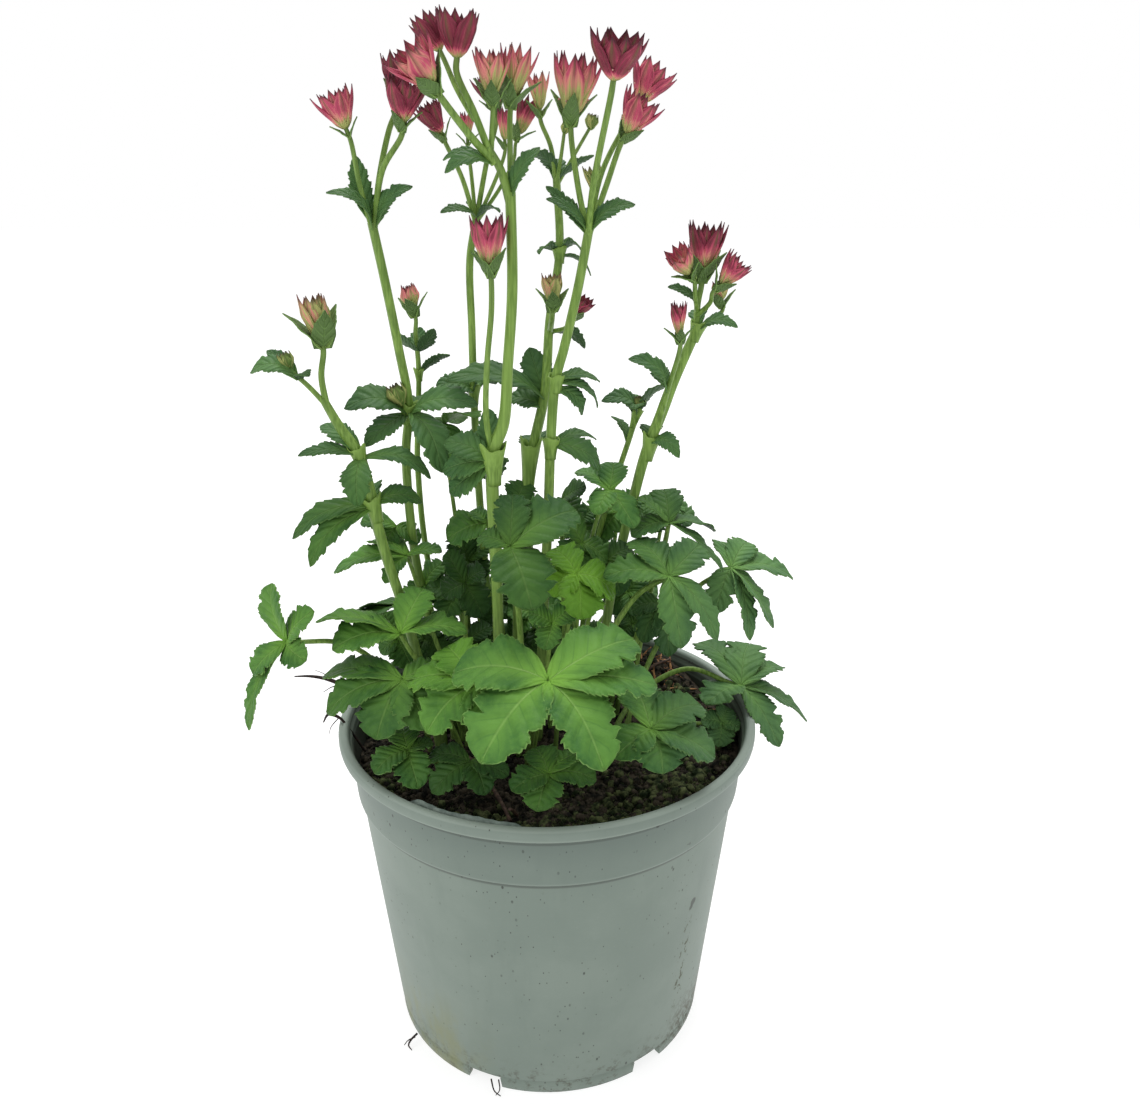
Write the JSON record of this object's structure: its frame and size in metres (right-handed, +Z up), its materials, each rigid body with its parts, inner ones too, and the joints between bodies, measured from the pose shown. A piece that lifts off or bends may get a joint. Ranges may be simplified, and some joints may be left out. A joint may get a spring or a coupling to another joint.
{
  "type": "potted great masterwort",
  "caption": "Great masterwort in bloom in a round plastic nursery pot: leafy upright stems, pink to dark red bracted blooms, lobed basal leaves and dark soil.",
  "frame": {"origin": "centre of the whole plant and pot seen from above, at the bottom of the pot's feet; the pot's own axis passes through it within a millimetre", "axes": "+Z up along the pot's axis and the stems, -Y towards the front of the plant, +X to its right seen from the front"},
  "size_m": [0.2235, 0.179, 0.3934],
  "materials": {
    "pot": "matte sage green recycled plastic with a soft sheen",
    "soil": "damp peat compost, rough",
    "stem": "fresh green stalk, satin",
    "leaf": "green leaf, satin",
    "bract": "pink to dark red papery bracts, matte"
  },
  "bodies": {
    "root": {"pot": "pot", "soil": "soil", "stem_a": "stem", "stem_b": "stem", "stem_c": "stem", "stem_d": "stem", "stem_e": "stem", "stem_f": "stem", "stem_g": "stem", "stem_h": "stem", "stem_i": "stem", "leaf_01": "leaf", "leaf_02": "leaf", "leaf_03": "leaf", "leaf_04": "leaf", "leaf_05": "leaf", "leaf_06": "leaf", "leaf_07": "leaf", "leaf_08": "leaf", "leaf_09": "leaf", "leaf_10": "leaf", "leaf_11": "leaf", "leaf_12": "leaf", "leaf_13": "leaf", "leaf_14": "leaf", "leaf_15": "leaf", "leaf_16": "leaf", "leaf_17": "leaf", "leaf_18": "leaf", "leaf_19": "leaf", "leaf_20": "leaf", "bloom_01": "bract", "bloom_02": "bract", "bloom_03": "bract", "bloom_04": "bract", "bloom_05": "bract", "bloom_06": "bract", "bloom_07": "bract", "bloom_08": "bract", "bloom_09": "bract", "bloom_10": "bract", "bloom_11": "bract", "bloom_12": "bract", "bloom_13": "bract", "bloom_14": "bract", "bloom_15": "bract", "bloom_16": "bract", "bloom_17": "bract", "bloom_18": "bract", "bloom_19": "bract", "bloom_20": "bract", "bloom_21": "bract", "bloom_22": "bract", "bloom_23": "bract", "bloom_24": "bract", "bloom_25": "bract", "bloom_26": "bract", "bloom_27": "bract", "bloom_28": "bract", "bloom_29": "bract"}
  },
  "joints": []
}
